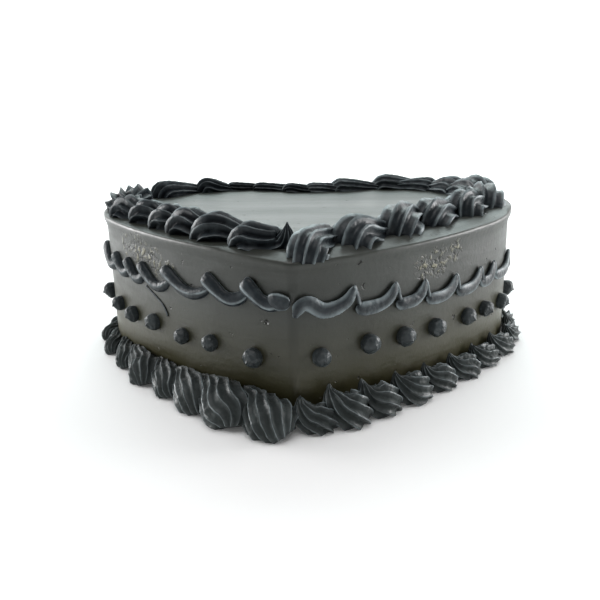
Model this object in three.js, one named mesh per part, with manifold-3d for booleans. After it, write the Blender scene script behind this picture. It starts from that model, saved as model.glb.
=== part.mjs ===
// Heart-shaped cake in dark icing, with piped borders, a garland and a row of dots.
// Millimetres, +Z up, the tip of the heart toward -Y, the base on Z = 0.

import * as THREE from 'three';
import Module from 'manifold-3d';

const wasm = await Module();
wasm.setup();

// Cake
const CAKE_HEIGHT = 70;
const LOBE_RADIUS = 62;
const LOBE_SPREAD = 43.5; // from the middle line to the centre of a lobe
const TIP_REACH = 114; // from the lobe centres to the foremost point of the tip
const TIP_RADIUS = 6;
const SIDE_RADIUS = 250;
const CLEFT_RADIUS = 40;
const LIP_REACH = 1.2; // the spatula leaves a soft lip round the top edge
const LIP_DEPTH = 7;
const EDGE_EASE = 1.2;
const TIP_STEPS = 3;
const SIDE_STEPS = 5;
const LOBE_STEPS = 16;
const CLEFT_STEPS = 4;

// Room left between neighbouring pieces
const GAP = 0.3;

// Piped swirls
const RIDGES = 6;
const RIDGE_DEPTH = 0.24;
const HEAD_STATIONS = [-0.9, -0.5]; // shares of the head's length, behind the fullest section
const TAIL_STATIONS = [0, 1]; // shares of the tail's length
const TAIL_SHARE = 0.3; // size of the tail's end beside the fullest section
const CENTRE_SHARE = 0.38; // height of a section's centre beside its top

// Top border
const TOP_INSET = 12;
const TOP_BAY = { at: 100, reach: 60, depth: 4 }; // the border swings in along each side
// Swirls anticlockwise from the tip, by distance along the wall. Those at the back are piped the other way.
const TOP_HEADS = [
  { side: 1, distance: 8.5, size: 0.9, tall: 1.25, lean: 0.75, inset: 3.5 },
  { side: 1, distance: 36, size: 1.18 },
  { side: 1, distance: 63, size: 1.08, tall: 1.25, lean: 0.6 },
  { side: 1, distance: 88 },
  { side: 1, distance: 118 },
  { side: 1, distance: 148 },
  { side: 1, distance: 176 },
  { side: 1, distance: 204, size: 0.85 },
  { side: 1, distance: 224, size: 0.7 },
  { side: 1, distance: 259, size: 0.68, lean: 0.1, way: -1 },
  { side: 1, distance: 290, size: 0.58, lean: 0.1, way: -1 },
  { side: 1, distance: 303, size: 0.42, lean: 0, way: -1 },
  { side: -1, distance: 295, size: 0.42, lean: 0, way: -1 },
  { side: -1, distance: 276, size: 0.44, lean: 0, way: -1 },
  { side: -1, distance: 255, size: 0.42, lean: 0, way: -1 },
  { side: -1, distance: 237, size: 0.7, lean: 0.1, way: -1 },
  { side: -1, distance: 201, size: 0.75, lean: 0.2, way: -1 },
  { side: -1, distance: 178, size: 0.9, inset: 9 },
  { side: -1, distance: 153, inset: 9 },
  { side: -1, distance: 130, inset: 10.5 },
  { side: -1, distance: 108, inset: 13 },
  { side: -1, distance: 88, inset: 13.5 },
  { side: -1, distance: 70, inset: 13 },
  { side: -1, distance: 51, inset: 12 },
  { side: -1, distance: 28, lean: 0.2, inset: 11, reach: 0.56, rise: 7 },
];
// The reach is the length of a tail beside the run to the next swirl.
const TOP_USUAL = { size: 1, tall: 1, lean: 0.3, reach: 0.95, rise: 0, way: 1 };
const TOP_WIDTH = 22;
const TOP_HEIGHT = 11;
const TOP_HEAD = 11;
const TOP_TWIST = 0.5;
const TOP_SEED = 1207;

// Base border, piped clockwise, so that the tails run the other way
// Distance along the wall of the swirls near the tip, how many there are, and the widths at tip and back.
// Beside its width a swirl at the back is taller than one at the tip by the back rise.
const RIGHT_FEET = [5, 18.5, 35, 53, 70.5, 88, 106, 124, 142];
const LEFT_FEET = [5.5, 25, 43, 63, 83, 105, 126, 145];
const BASE_RIGHT = {
  seen: RIGHT_FEET, count: 17, width: 18.5, backWidth: 10, backRise: 1.35, cleftFrom: 286, seed: 311,
};
const BASE_LEFT = {
  seen: LEFT_FEET, count: 17, width: 24.5, backWidth: 8.5, backRise: 1.12, cleftFrom: 276, seed: 577,
};
const BASE_HEIGHT = 0.73; // beside the width
const BASE_TAPER = 150; // along the wall, from the tip to the smaller swirls
const BASE_CENTRE_SHARE = 0.45; // distance of a swirl's middle from the wall beside its width
const BASE_HEAD = 0.45; // length of a head beside its width
const BASE_TAIL = 1.2; // length of a tail beside the way to the next swirl
const BASE_LEAN = 0.3;
const CLEFT_LEAN = -0.25; // where the wall curves in to the cleft
const BASE_TWIST = 0.7;
const BASE_TAIL_RISE = 0.25; // beside the width

// How far a piped piece strays from the rule
const UNEVENNESS = 0.09;

// Garland of swags
// Distance along the wall of the peaks and dots near the tip, how many there are, and the heights of a peak.
const SWAGS_RIGHT = { seen: [4, 27, 48, 65, 86, 106, 119], count: 14, tipPeak: 53.5, lobePeak: 46.5 };
const SWAGS_LEFT = { seen: [3, 21, 42, 69, 90, 105, 120], count: 14, tipPeak: 56.5, lobePeak: 52 };
const PEAK_TAPER = 75;
const GARLAND_END = 4; // from the middle of the cleft
const GARLAND_SAG = 6;
const STRING_HEAD = 4; // half height of the string where a swag starts
const STRING_TAIL = 2.9;
const PEAK_STRETCH = 0.3; // the string is taller where it climbs to a peak
const STRING_REACH = 5.6; // how far the string stands off the wall
const STRING_SHOULDER = [0.75, 0.7]; // shares of the reach and of the half height
const SWAG_STATIONS = [0, 0.18, 0.5, 0.82]; // share of the swag at each ring

// Dots
const RIGHT_DOTS = [11.5, 34.5, 53.5, 73, 97, 113, 132, 155];
const LEFT_DOTS = [18.5, 42.5, 61, 83.5, 104, 121.5];
const DOTS_RIGHT = { seen: RIGHT_DOTS, count: 13, heights: [29, 25.5], seed: 41 };
const DOTS_LEFT = { seen: LEFT_DOTS, count: 13, heights: [27, 26.5], seed: 83 };
const DOT_TAPER = 90; // along the wall, from the height at the tip to the other one
const DOT_STRAY = 0.04; // share by which a dot's height strays
const DOT_RADIUS = 3.9;
const DOT_SIDES = 5;
const DOT_PROFILE = [[0.9, -0.3], [1, 0.4], [0.7, 1.05], [0.14, 1.5]]; // shares of the radius

// Finish
const ICING_COLOUR = 0x4a4b46;
const PIPING_COLOUR = 0x34383b;
const ICING_ROUGHNESS = 0.45;
const PIPING_ROUGHNESS = 0.5;

// Repeatable draws
const DRAW_FACTOR = 16807;
const DRAW_RANGE = 2 ** 31 - 1;

// Outline of the heart

// Each arc of the right half is a centre, a signed radius and the range of the outward normal.
const TIP_CENTRE = new THREE.Vector2(0, TIP_RADIUS - TIP_REACH);
const LOBE_CENTRE = new THREE.Vector2(LOBE_SPREAD, 0);
const CLEFT_CENTRE = new THREE.Vector2(0, Math.sqrt((LOBE_RADIUS + CLEFT_RADIUS) ** 2 - LOBE_SPREAD ** 2));
const FROM_LOBE = SIDE_RADIUS - LOBE_RADIUS;
const FROM_TIP = SIDE_RADIUS - TIP_RADIUS;
const SIDE_CENTRE = meetingPoint(LOBE_CENTRE, FROM_LOBE, TIP_CENTRE, FROM_TIP);
const SIDE_FROM = TIP_CENTRE.clone().sub(SIDE_CENTRE).angle() - 2 * Math.PI;
const SIDE_TO = LOBE_CENTRE.clone().sub(SIDE_CENTRE).angle() - 2 * Math.PI;
const LOBE_TO = CLEFT_CENTRE.clone().sub(LOBE_CENTRE).angle();

// The left one of the two points at given distances from two centres.
function meetingPoint(first, firstRadius, second, secondRadius) {
  const between = second.clone().sub(first);
  const distance = between.length();
  const along = (firstRadius ** 2 - secondRadius ** 2 + distance ** 2) / (2 * distance);
  const across = Math.sqrt(firstRadius ** 2 - along ** 2);
  const unit = between.divideScalar(distance);
  const sideways = new THREE.Vector2(unit.y, -unit.x);
  return first.clone().addScaledVector(unit, along).addScaledVector(sideways, across);
}

// Arcs of the right half from the tip to the cleft, moved out by an offset.
function halfArcs(offset) {
  const tipRadius = TIP_RADIUS + offset;
  const sideRadius = SIDE_RADIUS + offset;
  const onAxis = -Math.acos(-SIDE_CENTRE.x / sideRadius);
  const sideFrom = tipRadius > 0 ? SIDE_FROM : onAxis;
  const tip = { centre: TIP_CENTRE, radius: tipRadius, from: -Math.PI / 2, to: SIDE_FROM, steps: TIP_STEPS };
  const side = { centre: SIDE_CENTRE, radius: sideRadius, from: sideFrom, to: SIDE_TO, steps: SIDE_STEPS };
  const lobeRadius = LOBE_RADIUS + offset;
  const lobe = { centre: LOBE_CENTRE, radius: lobeRadius, from: SIDE_TO, to: LOBE_TO, steps: LOBE_STEPS };
  const cleftRadius = offset - CLEFT_RADIUS;
  const back = Math.PI / 2;
  const cleft = { centre: CLEFT_CENTRE, radius: cleftRadius, from: LOBE_TO, to: back, steps: CLEFT_STEPS };
  return tipRadius > 0 ? [tip, side, lobe, cleft] : [side, lobe, cleft];
}

function arcLength(arc) {
  return Math.abs(arc.radius * (arc.to - arc.from));
}

function arcPoint(arc, share) {
  const angle = THREE.MathUtils.lerp(arc.from, arc.to, share);
  const x = arc.centre.x + arc.radius * Math.cos(angle);
  const y = arc.centre.y + arc.radius * Math.sin(angle);
  return { x, y, angle };
}

function halfLength(offset) {
  return halfArcs(offset).reduce((sum, arc) => sum + arcLength(arc), 0);
}

// Point and outward normal at a distance from the tip, on the right (1) or the left (-1).
function pathPoint(offset, distance, side) {
  const arcs = halfArcs(offset);
  let rest = Math.max(0, distance);
  let arc = arcs[0];
  for (const next of arcs) {
    arc = next;
    if (rest <= arcLength(arc)) break;
    if (arc !== arcs.at(-1)) rest -= arcLength(arc);
  }
  const point = arcPoint(arc, Math.min(1, rest / arcLength(arc)));
  return side > 0 ? point : { x: -point.x, y: point.y, angle: Math.PI - point.angle };
}

// The distances that are given, and the rest spread evenly up to the cleft.
function spread(seen, count) {
  const last = seen.at(-1);
  const rest = count - seen.length;
  const pitch = (halfLength(0) - last) / (rest + 0.5);
  return [...seen, ...Array.from({ length: rest }, (_, k) => last + (k + 1) * pitch)];
}

// A point of the path moved out along its normal.
function stepped({ x, y, angle }, out) {
  return { x: x + out * Math.cos(angle), y: y + out * Math.sin(angle), angle };
}

// Closed outline, anticlockwise from the tip, at one height.
function outlineRing(offset, z) {
  const half = [];
  for (const arc of halfArcs(offset)) {
    for (let step = 0; step < arc.steps; step++) half.push(arcPoint(arc, step / arc.steps));
  }
  const cleft = arcPoint(halfArcs(offset).at(-1), 1);
  const right = half.map((point) => new THREE.Vector3(point.x, point.y, z));
  const left = half.slice(1).reverse().map((point) => new THREE.Vector3(-point.x, point.y, z));
  return [...right, new THREE.Vector3(0, cleft.y, z), ...left];
}

// Solids

// Closed surface through rings of equal count, each end filled from the middle of its ring.
function loft(rings) {
  const count = rings[0].length;
  const points = rings.flat();
  const faces = [];
  for (let first = 0; first < points.length - count; first += count) {
    for (let k = 0; k < count; k++) {
      const a = first + k;
      const b = first + ((k + 1) % count);
      faces.push(a, b, b + count, a, b + count, a + count);
    }
  }
  const last = points.length - count;
  const start = points.push(middle(rings[0])) - 1;
  const end = points.push(middle(rings.at(-1))) - 1;
  for (let k = 0; k < count; k++) {
    const next = (k + 1) % count;
    faces.push(next, k, start, last + k, last + next, end);
  }
  const vertProperties = new Float32Array(points.flatMap((point) => point.toArray()));
  const triVerts = new Uint32Array(faces);
  return new wasm.Manifold(new wasm.Mesh({ numProp: 3, vertProperties, triVerts }));
}

function middle(ring) {
  const sum = ring.reduce((total, point) => total.add(point), new THREE.Vector3());
  return sum.divideScalar(ring.length);
}

function moved(solid, matrix) {
  return solid.transform(matrix.elements);
}

// The largest body of a solid, without the scraps that a cut leaves.
function mainBody(solid) {
  const bodies = solid.decompose();
  return bodies.reduce((best, body) => (body.volume() > best.volume() ? body : best));
}

function iced(name, solid, colour, roughness) {
  const { vertProperties, triVerts } = solid.getMesh();
  const geometry = new THREE.BufferGeometry();
  geometry.setAttribute('position', new THREE.BufferAttribute(vertProperties, 3));
  geometry.setIndex(new THREE.BufferAttribute(triVerts, 1));
  geometry.computeVertexNormals();
  const material = new THREE.MeshStandardMaterial({ color: colour, roughness, metalness: 0 });
  const mesh = new THREE.Mesh(geometry, material);
  mesh.name = name;
  return mesh;
}

// Repeatable draw between -1 and 1.
function seededDraw(seed) {
  let state = seed;
  return () => {
    state = (state * DRAW_FACTOR) % DRAW_RANGE;
    return (2 * state) / DRAW_RANGE - 1;
  };
}

// The iced heart, grown all round by a margin.
function cakeSolid(margin) {
  const edge = LIP_REACH - EDGE_EASE + margin;
  return loft([
    outlineRing(margin, -margin),
    outlineRing(margin, CAKE_HEIGHT - LIP_DEPTH),
    outlineRing(LIP_REACH + margin, CAKE_HEIGHT - 2 * EDGE_EASE),
    outlineRing(LIP_REACH + margin, CAKE_HEIGHT - EDGE_EASE + margin),
    outlineRing(edge, CAKE_HEIGHT + margin),
  ]);
}

// A swirl from a star tip, fullest at the origin, with a blunt head behind and a tail along +X.
function swirlSolid({ head, tail, width, height, twist, rise = 0 }, margin = 0) {
  const section = (share) => {
    const full = share < 0 ? Math.sqrt(1 - share ** 2) : 1 - (1 - TAIL_SHARE) * share;
    const x = share < 0 ? share * (head + margin) : share * tail;
    const halfWidth = (width / 2) * full + margin;
    const halfHeight = (1 - CENTRE_SHARE) * height * full + margin;
    const centre = CENTRE_SHARE * height * full + rise * Math.max(0, share) ** 2;
    const ring = [];
    for (let k = 0; k < 2 * RIDGES; k++) {
      const angle = Math.PI / 2 + (Math.PI * k) / RIDGES + twist * share;
      const reach = k % 2 === 0 ? 1 : 1 - RIDGE_DEPTH;
      const y = halfWidth * reach * Math.cos(angle);
      const z = centre + halfHeight * reach * Math.sin(angle);
      ring.push(new THREE.Vector3(x, y, z));
    }
    return ring;
  };
  return loft([...HEAD_STATIONS, ...TAIL_STATIONS].map(section));
}

// Frame of a swirl on a border: turned from the outward normal, then set at its place.
function swirlFrame(point, turn, z) {
  const matrix = new THREE.Matrix4().makeRotationZ(point.angle + turn);
  return matrix.setPosition(point.x, point.y, z);
}

// Top border

// Place of a swirl, in from the wall and further in along the sides.
function topPlace({ side, distance, inset }) {
  const away = Math.min(1, Math.abs(distance - TOP_BAY.at) / TOP_BAY.reach);
  const usual = TOP_INSET + TOP_BAY.depth * Math.cos((Math.PI / 2) * away) ** 2;
  return stepped(pathPoint(0, distance, side), -(inset ?? usual));
}

function topSwirls() {
  const draw = seededDraw(TOP_SEED);
  const places = TOP_HEADS.map(topPlace);
  return TOP_HEADS.map((entry, k) => {
    const start = { ...TOP_USUAL, ...entry };
    const next = (k + start.way + places.length) % places.length;
    const point = places[k];
    const size = start.size * (1 + UNEVENNESS * draw());
    const shape = {
      head: TOP_HEAD * size,
      tail: start.reach * Math.hypot(places[next].x - point.x, places[next].y - point.y),
      width: TOP_WIDTH * size,
      height: TOP_HEIGHT * start.tall * size,
      twist: TOP_TWIST,
      rise: start.rise,
    };
    const turn = start.way * (Math.PI / 2 + start.lean + UNEVENNESS * draw());
    return { shape, frame: swirlFrame(point, turn, CAKE_HEIGHT + GAP), next };
  });
}

// Each swirl ends where the head of the next one covers its tail. Of two whose tails meet, the first ends.
function topBorder() {
  const border = new THREE.Group();
  const swirls = topSwirls();
  swirls.forEach(({ shape, frame, next }, k) => {
    const other = swirls[next];
    const whole = swirlSolid(shape).trimByPlane([0, 0, 1], 0);
    const cover = moved(swirlSolid(other.shape, GAP), frame.clone().invert().multiply(other.frame));
    const body = other.next === k && next < k ? whole : whole.subtract(cover);
    const name = `top_swirl_${String(k + 1).padStart(2, '0')}`;
    const mesh = iced(name, mainBody(body), PIPING_COLOUR, PIPING_ROUGHNESS);
    mesh.applyMatrix4(frame);
    border.add(mesh);
  });
  return border;
}

// Base border

function baseBorder(name, side, row) {
  const draw = seededDraw(row.seed);
  const distances = spread(row.seen, row.count);
  const swirls = distances.map((distance, k) => {
    const place = pathPoint(0, distance, side);
    const last = pathPoint(0, distances[k - side] ?? distance, side);
    const back = Math.min(1, distance / BASE_TAPER);
    const width = THREE.MathUtils.lerp(row.width, row.backWidth, back) * (1 + UNEVENNESS * draw());
    const tall = THREE.MathUtils.lerp(1, row.backRise, back);
    const shape = {
      head: BASE_HEAD * width,
      tail: BASE_TAIL * Math.max(BASE_HEAD * width, Math.hypot(last.x - place.x, last.y - place.y)),
      width,
      height: BASE_HEIGHT * tall * width,
      twist: BASE_TWIST,
      rise: BASE_TAIL_RISE * tall * width,
    };
    const lean = (distance > row.cleftFrom ? CLEFT_LEAN : BASE_LEAN) + UNEVENNESS * draw();
    const frame = swirlFrame(stepped(place, BASE_CENTRE_SHARE * width), -Math.PI / 2 - lean, 0);
    return moved(swirlSolid(shape), frame);
  });
  const joined = wasm.Manifold.union(swirls)
    .trimByPlane([0, 0, 1], 0)
    .trimByPlane([side, 0, 0], GAP / 2)
    .subtract(cakeSolid(GAP));
  return iced(name, mainBody(joined), PIPING_COLOUR, PIPING_ROUGHNESS);
}

// Garland

// A string of swags along the wall, each from a full head down and up to a thin tail.
function garland(name, side, row) {
  const end = halfLength(0) - GARLAND_END;
  const peaks = [...spread(row.seen, row.count), end];
  const rings = [];
  for (let swag = 0; swag < row.count; swag++) {
    for (const share of SWAG_STATIONS) {
      const distance = THREE.MathUtils.lerp(peaks[swag], peaks[swag + 1], share);
      rings.push(stringRing(distance, side, peakHeight(row, distance), side > 0 ? share : (1 - share) % 1));
    }
  }
  rings.push(stringRing(end, side, row.lobePeak, 1));
  const ordered = side > 0 ? rings.reverse() : rings;
  return iced(name, loft(ordered), PIPING_COLOUR, PIPING_ROUGHNESS);
}

// Height of a peak, higher at the tip than round the lobes.
function peakHeight({ tipPeak, lobePeak }, distance) {
  return THREE.MathUtils.lerp(tipPeak, lobePeak, Math.min(1, distance / PEAK_TAPER));
}

// Upright section of the string at a share of its swag: flat on the wall, round outward.
function stringRing(distance, side, peak, share) {
  const hang = 1 - (2 * share - 1) ** 2;
  const half = THREE.MathUtils.lerp(STRING_HEAD, STRING_TAIL, share) * (1 + PEAK_STRETCH * (1 - hang));
  const centre = peak - GARLAND_SAG * hang;
  const reach = STRING_REACH * (half / STRING_HEAD) ** 0.5;
  const [outward, upward] = STRING_SHOULDER;
  const shoulder = outward * reach;
  const section = [[GAP, -1], [shoulder, -upward], [reach, 0], [shoulder, upward], [GAP, 1]];
  return section.map(([out, up]) => {
    const point = pathPoint(out, (distance * halfLength(out)) / halfLength(0), side);
    return new THREE.Vector3(point.x, point.y, centre + up * half);
  });
}

// Dots

function dotSolid(size) {
  const rings = DOT_PROFILE.map(([radius, out]) => {
    const ring = [];
    for (let k = 0; k < DOT_SIDES; k++) {
      const angle = (2 * Math.PI * k) / DOT_SIDES;
      const across = size * radius * Math.cos(angle);
      const up = size * radius * Math.sin(angle);
      ring.push(new THREE.Vector3(size * out, across, up));
    }
    return ring;
  });
  return loft(rings);
}

function dots(prefix, side, { seen, count, heights, seed }) {
  const row = new THREE.Group();
  const draw = seededDraw(seed);
  const wall = cakeSolid(GAP);
  spread(seen, count).forEach((distance, k) => {
    const point = pathPoint(0, distance, side);
    const frame = new THREE.Matrix4().makeRotationZ(point.angle);
    const height = THREE.MathUtils.lerp(...heights, Math.min(1, distance / DOT_TAPER));
    frame.setPosition(point.x, point.y, height * (1 + DOT_STRAY * draw()));
    const cut = moved(wall, frame.clone().invert());
    const solid = dotSolid(DOT_RADIUS * (1 + UNEVENNESS * draw())).subtract(cut);
    const mesh = iced(`${prefix}_${String(k + 1).padStart(2, '0')}`, solid, PIPING_COLOUR, PIPING_ROUGHNESS);
    mesh.applyMatrix4(frame);
    row.add(mesh);
  });
  return row;
}

// The whole cake, with its middle over the origin
const cake = new THREE.Group();
cake.add(iced('cake_body', cakeSolid(0), ICING_COLOUR, ICING_ROUGHNESS));
cake.add(topBorder());
cake.add(baseBorder('base_border_right', 1, BASE_RIGHT));
cake.add(baseBorder('base_border_left', -1, BASE_LEFT));
cake.add(garland('garland_right', 1, SWAGS_RIGHT));
cake.add(garland('garland_left', -1, SWAGS_LEFT));
cake.add(dots('dot_right', 1, DOTS_RIGHT));
cake.add(dots('dot_left', -1, DOTS_LEFT));

const box = new THREE.Box3().setFromObject(cake);
const centre = box.getCenter(new THREE.Vector3());
cake.position.set(-centre.x, -centre.y, 0);

export default cake;
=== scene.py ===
"""Heart-shaped cake in dark satin buttercream, with piped borders, a garland and a row of dots.

Pieces are drawn in millimetres in the heart's own frame, the tip toward -Y and the lobe centres
on Y = 0, and are then settled into the row frame in metres.
"""

import logging
import math
from collections.abc import Callable, Iterator, Sequence
from contextlib import contextmanager
from dataclasses import dataclass, replace
from enum import Enum
from functools import cached_property, partial

import bpy
from mathutils import Matrix, Vector

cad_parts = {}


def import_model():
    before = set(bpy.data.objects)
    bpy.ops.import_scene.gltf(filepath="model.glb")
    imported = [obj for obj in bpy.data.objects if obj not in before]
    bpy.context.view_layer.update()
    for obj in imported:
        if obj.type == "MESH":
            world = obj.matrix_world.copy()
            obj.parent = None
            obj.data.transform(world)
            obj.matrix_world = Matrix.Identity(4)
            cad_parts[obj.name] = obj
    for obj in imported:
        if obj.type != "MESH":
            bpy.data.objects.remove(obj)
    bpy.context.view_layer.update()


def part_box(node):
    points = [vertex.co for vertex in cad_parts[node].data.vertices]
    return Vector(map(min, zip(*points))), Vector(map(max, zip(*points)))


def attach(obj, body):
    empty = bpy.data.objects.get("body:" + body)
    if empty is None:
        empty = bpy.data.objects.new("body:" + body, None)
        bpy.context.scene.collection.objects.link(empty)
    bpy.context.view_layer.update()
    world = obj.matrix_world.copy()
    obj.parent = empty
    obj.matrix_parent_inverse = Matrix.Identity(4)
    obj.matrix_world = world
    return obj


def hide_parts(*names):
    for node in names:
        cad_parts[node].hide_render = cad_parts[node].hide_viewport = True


LOG = logging.getLogger("cake")
BODY = "root"
MILLIMETRE = 0.001
HALF_TURN = math.pi
QUARTER_TURN = math.pi / 2
ORIGIN = (0, 0, 0)
UP = (0, 0, 1)
WHITE = (1, 1, 1)
WELD = 1e-4
RIDGE = "ridge"

Xyz = tuple[float, float, float]
Rgb = tuple[float, float, float]
Range = tuple[float, float]
Piece = bpy.types.Object
Socket = bpy.types.NodeSocket
Inputs = dict[str | int, object]
Spot = tuple[Vector, float]
Row = tuple[float, float, float, float]


class Side(Enum):
    """Half of the heart, as seen from the tip."""

    RIGHT = 1
    LEFT = -1


RIGHT, LEFT = Side.RIGHT, Side.LEFT


class Slot(Enum):
    """Material slot of the record that a piece takes its finish from."""

    ICING = "icing"
    PIPING = "piping"


def mix(start: float, end: float, share: float) -> float:
    """Returns the value at a share of the way from start to end."""
    return start + (end - start) * share


def held(share: float) -> float:
    """Returns a share held between 0 and 1."""
    return min(1.0, max(0.0, share))


class Draw:
    """Repeatable draws between -1 and 1."""

    FACTOR = 16807
    RANGE = 2**31 - 1

    def __init__(self, seed: int) -> None:
        """Starts the row of draws from a seed."""
        self.state = seed

    def __call__(self) -> float:
        """Returns the next draw."""
        self.state = self.state * self.FACTOR % self.RANGE
        return 2 * self.state / self.RANGE - 1


@dataclass(frozen=True)
class Place:
    """Point of an outline with the angle of its outward normal."""

    x: float
    y: float
    angle: float

    def stepped(self, out: float) -> "Place":
        """Returns the place moved out along its normal."""
        x, y = self.x + out * math.cos(self.angle), self.y + out * math.sin(self.angle)
        return Place(x, y, self.angle)

    def matrix(self, turn: float, height: float) -> Matrix:
        """Returns the frame of a piece at a height, turned from the outward normal."""
        spin = Matrix.Rotation(self.angle + turn, 4, "Z")
        return Matrix.Translation((self.x, self.y, height)) @ spin


@dataclass(frozen=True)
class Arc:
    """Arc of the outline, from one angle of the outward normal to another."""

    centre: Vector
    radius: float
    start: float
    end: float
    steps: int

    @property
    def length(self) -> float:
        """Length along the arc."""
        return abs(self.radius * (self.end - self.start))

    def place(self, share: float) -> Place:
        """Returns the place at a share of the arc."""
        angle = mix(self.start, self.end, share)
        return Place(*self.centre, angle).stepped(self.radius)


@dataclass(frozen=True)
class HeartOutline:
    """Outline of the cake: tangent arcs round the tip, the sides, the lobes and the cleft."""

    lobe_radius: float = 62
    lobe_spread: float = 43.5
    tip_reach: float = 114
    tip_radius: float = 6
    side_radius: float = 250
    cleft_radius: float = 40
    tip_steps: int = 8
    side_steps: int = 30
    lobe_steps: int = 52
    cleft_steps: int = 12
    cleft_gap: float = 0.5

    @cached_property
    def tip(self) -> Vector:
        """Centre of the tip's arc."""
        return Vector((0, self.tip_radius - self.tip_reach))

    @cached_property
    def lobe(self) -> Vector:
        """Centre of the right lobe."""
        return Vector((self.lobe_spread, 0))

    @cached_property
    def cleft(self) -> Vector:
        """Centre of the cleft's arc."""
        reach = self.lobe_radius + self.cleft_radius
        return Vector((0, math.sqrt(reach**2 - self.lobe_spread**2)))

    @cached_property
    def side(self) -> Vector:
        """Centre of the right side's arc.

        Returns:
            The centre of the arc that is tangent to the lobe and to the tip.
        """
        from_lobe = self.side_radius - self.lobe_radius
        from_tip = self.side_radius - self.tip_radius
        between = self.tip - self.lobe
        along = (from_lobe**2 - from_tip**2 + between.length_squared) / (2 * between.length)
        across = math.sqrt(from_lobe**2 - along**2)
        unit = between.normalized()
        return self.lobe + unit * along + Vector((unit.y, -unit.x)) * across

    def arcs(self, offset: float) -> list[Arc]:
        """Arcs of the right half from the tip to the cleft.

        Args:
            offset: How far the outline is moved out.

        Returns:
            The arcs in order. An outline moved in past the tip's radius starts on its side.
        """
        side_start = math.atan2(*(self.tip - self.side).yx)
        side_end = math.atan2(*(self.lobe - self.side).yx)
        lobe_end = math.atan2(*(self.cleft - self.lobe).yx)
        tip_radius = self.tip_radius + offset
        side_radius = self.side_radius + offset
        tip = Arc(self.tip, tip_radius, -QUARTER_TURN, side_start, self.tip_steps)
        first = side_start if tip_radius > 0 else -math.acos(-self.side.x / side_radius)
        rest = [
            Arc(self.side, side_radius, first, side_end, self.side_steps),
            Arc(self.lobe, self.lobe_radius + offset, side_end, lobe_end, self.lobe_steps),
            Arc(self.cleft, offset - self.cleft_radius, lobe_end, QUARTER_TURN, self.cleft_steps),
        ]
        return [tip, *rest] if tip_radius > 0 else rest

    def length(self, offset: float) -> float:
        """Returns the length of one half from the tip to the cleft."""
        return sum(arc.length for arc in self.arcs(offset))

    def place(self, offset: float, distance: float, side: Side) -> Place:
        """Place on one half of the outline.

        Args:
            offset: How far the outline is moved out.
            distance: Way along it from the tip.
            side: Which half.

        Returns:
            The place, with its outward normal.
        """
        rest = max(0.0, distance)
        arcs = self.arcs(offset)
        for arc in arcs[:-1]:
            if rest <= arc.length:
                break
            rest -= arc.length
        else:
            arc = arcs[-1]
        found = arc.place(held(rest / arc.length))
        return found if side is RIGHT else Place(-found.x, found.y, HALF_TURN - found.angle)

    def spread(self, seen: Sequence[float], count: int) -> list[float]:
        """Returns the known distances of a row from the tip on, and the rest spread evenly."""
        pitch = (self.length(0) - seen[-1]) / (count - len(seen) + self.cleft_gap)
        return [*seen, *(seen[-1] + step * pitch for step in range(1, count - len(seen) + 1))]

    def wrapped(self, along: float, out: float, height: float, side: Side) -> Xyz:
        """Returns a point of the unrolled wall brought round the cake."""
        place = self.place(out, along * self.length(out) / self.length(0), side)
        return place.x, place.y, height


# Tools of the bench


def select_only(*pieces: Piece) -> None:
    """Selects some pieces alone.

    Args:
        pieces: The pieces, the first of which becomes the active one.
    """
    bpy.ops.object.select_all(action="DESELECT")
    for piece in pieces:
        piece.select_set(True)
    bpy.context.view_layer.objects.active = pieces[0]


@contextmanager
def editing(piece: Piece, whole: bool = False) -> Iterator[None]:
    """Opens a piece in edit mode and closes it again.

    Args:
        piece: The piece.
        whole: Whether all its points are selected, or those that were.

    Yields:
        Nothing.
    """
    select_only(piece)
    bpy.ops.object.mode_set(mode="EDIT")
    bpy.ops.mesh.select_mode(type="VERT")
    if whole:
        bpy.ops.mesh.select_all(action="SELECT")
    yield
    bpy.ops.object.mode_set(mode="OBJECT")


def pick_points(piece: Piece, wanted: Sequence[bool]) -> None:
    """Selects points outside edit mode.

    Args:
        piece: The piece whose points are selected.
        wanted: Whether each point is selected.
    """
    mesh = piece.data
    mesh.polygons.foreach_set("select", [False] * len(mesh.polygons))
    mesh.edges.foreach_set("select", [False] * len(mesh.edges))
    mesh.vertices.foreach_set("select", wanted)


def named(piece: Piece, name: str) -> Piece:
    """Returns a piece after naming it and its data."""
    piece.name = piece.data.name = name
    return piece


def started(name: str, add: Callable[..., object], **settings: object) -> Piece:
    """Adds a new object.

    Args:
        name: Its name.
        add: The operator that adds it.
        settings: Settings of the operator.

    Returns:
        The new object.
    """
    bpy.ops.object.select_all(action="DESELECT")
    add(**settings)
    return named(bpy.context.view_layer.objects.active, name)


def copied(piece: Piece, name: str) -> Piece:
    """Copies a piece.

    Args:
        piece: The piece.
        name: Name of the copy.

    Returns:
        The copy, with a mesh of its own.
    """
    twin = piece.copy()
    twin.data = piece.data.copy()
    bpy.context.scene.collection.objects.link(twin)
    return named(twin, name)


def joined(pieces: Sequence[Piece], name: str) -> Piece:
    """Joins pieces into one.

    Args:
        pieces: The pieces, the first of which takes in the others.
        name: Name of the joined piece.

    Returns:
        The joined piece.
    """
    select_only(*pieces)
    bpy.ops.object.join()
    return named(pieces[0], name)


def modified(piece: Piece, kind: str, **settings: object) -> None:
    """Puts a modifier on a piece and applies it.

    Args:
        piece: The piece.
        kind: Kind of modifier.
        settings: Settings of the modifier.
    """
    select_only(piece)
    modifier = piece.modifiers.new(kind, kind)
    for key, value in settings.items():
        setattr(modifier, key, value)
    bpy.ops.object.modifier_apply(modifier=modifier.name)


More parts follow.
